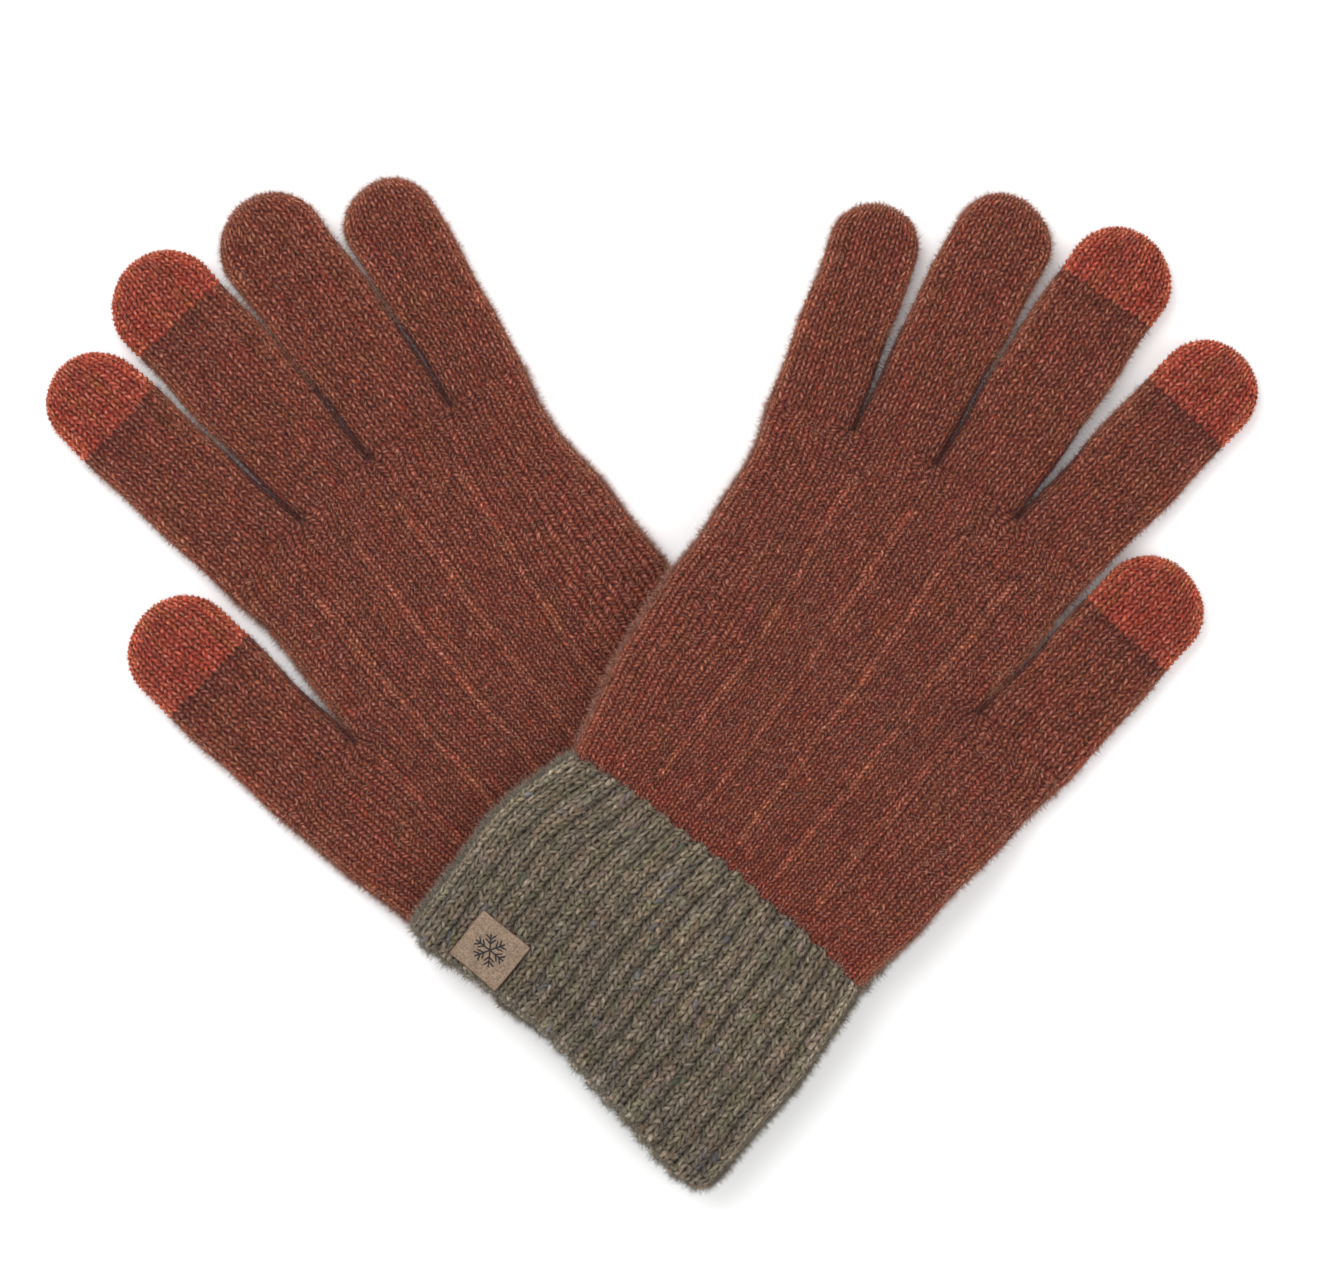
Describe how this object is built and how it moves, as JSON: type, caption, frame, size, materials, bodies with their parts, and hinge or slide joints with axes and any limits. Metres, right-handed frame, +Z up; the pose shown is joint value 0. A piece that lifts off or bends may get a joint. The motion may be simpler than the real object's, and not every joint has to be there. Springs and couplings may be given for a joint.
{
  "type": "touchscreen gloves",
  "caption": "Pair of knitted gloves laid flat and crossed at the cuffs: fold-up fingers, conductive fingertips, ribbed cuffs and a small square label.",
  "frame": {"origin": "middle of the pair's footprint, on the surface it lies on", "axes": "+Z up from the surface, +X across the pair from the right glove's fingers to the left glove's fingers, +Y towards the fingertips"},
  "size_m": [0.277, 0.231, 0.0196],
  "materials": {
    "hand_knit": "matte",
    "touch_knit": "matte",
    "cuff_rib": "matte",
    "label": "matte"
  },
  "bodies": {
    "root": {"right_hand": "hand_knit", "right_cuff": "cuff_rib"},
    "left_cuff": {"left_cuff": "cuff_rib", "left_label": "label"},
    "left_hand": {"left_hand": "hand_knit"},
    "right_little": {"right_little": "hand_knit"},
    "right_ring": {"right_ring": "hand_knit"},
    "right_middle": {"right_middle": "hand_knit", "right_middle_tip": "touch_knit"},
    "right_index": {"right_index": "hand_knit", "right_index_tip": "touch_knit"},
    "right_thumb": {"right_thumb": "hand_knit", "right_thumb_tip": "touch_knit"},
    "left_little": {"left_little": "hand_knit"},
    "left_ring": {"left_ring": "hand_knit"},
    "left_middle": {"left_middle": "hand_knit", "left_middle_tip": "touch_knit"},
    "left_index": {"left_index": "hand_knit", "left_index_tip": "touch_knit"},
    "left_thumb": {"left_thumb": "hand_knit", "left_thumb_tip": "touch_knit"}
  },
  "joints": [
    {"name": "left_glove_lift", "type": "slide", "parent": "root", "child": "left_cuff", "axis": [0, 0, 1], "range_m": [0, 0.05]},
    {"name": "left_wrist_fold", "type": "hinge", "parent": "left_cuff", "child": "left_hand", "pos_m": [0.0142, -0.0424, 0.0173], "axis": [0.7716, -0.6361, 0], "range_deg": [0, 75]},
    {"name": "right_little_fold", "type": "hinge", "parent": "root", "child": "right_little", "pos_m": [-0.03909, 0.07237, 0.008], "axis": [0.7754, 0.6315, 0], "range_deg": [0, 90]},
    {"name": "right_ring_fold", "type": "hinge", "parent": "root", "child": "right_ring", "pos_m": [-0.05658, 0.06085, 0.008], "axis": [0.7754, 0.6315, 0], "range_deg": [0, 90]},
    {"name": "right_middle_fold", "type": "hinge", "parent": "root", "child": "right_middle", "pos_m": [-0.07363, 0.04696, 0.008], "axis": [0.7754, 0.6315, 0], "range_deg": [0, 90]},
    {"name": "right_index_fold", "type": "hinge", "parent": "root", "child": "right_index", "pos_m": [-0.0911, 0.03181, 0.008], "axis": [0.7754, 0.6315, 0], "range_deg": [0, 90]},
    {"name": "right_thumb_fold", "type": "hinge", "parent": "root", "child": "right_thumb", "pos_m": [-0.07785, -0.01973, 0.008], "axis": [0.6915, 0.7223, 0], "range_deg": [0, 90]},
    {"name": "left_little_fold", "type": "hinge", "parent": "left_hand", "child": "left_little", "pos_m": [0.03828, 0.06595, 0.008], "axis": [0.8564, -0.5163, 0], "range_deg": [0, 90]},
    {"name": "left_ring_fold", "type": "hinge", "parent": "left_hand", "child": "left_ring", "pos_m": [0.05733, 0.05816, 0.008], "axis": [0.8564, -0.5163, 0], "range_deg": [0, 90]},
    {"name": "left_middle_fold", "type": "hinge", "parent": "left_hand", "child": "left_middle", "pos_m": [0.07562, 0.04714, 0.008], "axis": [0.8564, -0.5163, 0], "range_deg": [0, 90]},
    {"name": "left_index_fold", "type": "hinge", "parent": "left_hand", "child": "left_index", "pos_m": [0.09464, 0.03405, 0.008], "axis": [0.8564, -0.5163, 0], "range_deg": [0, 90]},
    {"name": "left_thumb_fold", "type": "hinge", "parent": "left_hand", "child": "left_thumb", "pos_m": [0.08568, -0.01278, 0.008], "axis": [0.7365, -0.6764, 0], "range_deg": [0, 90]}
  ]
}
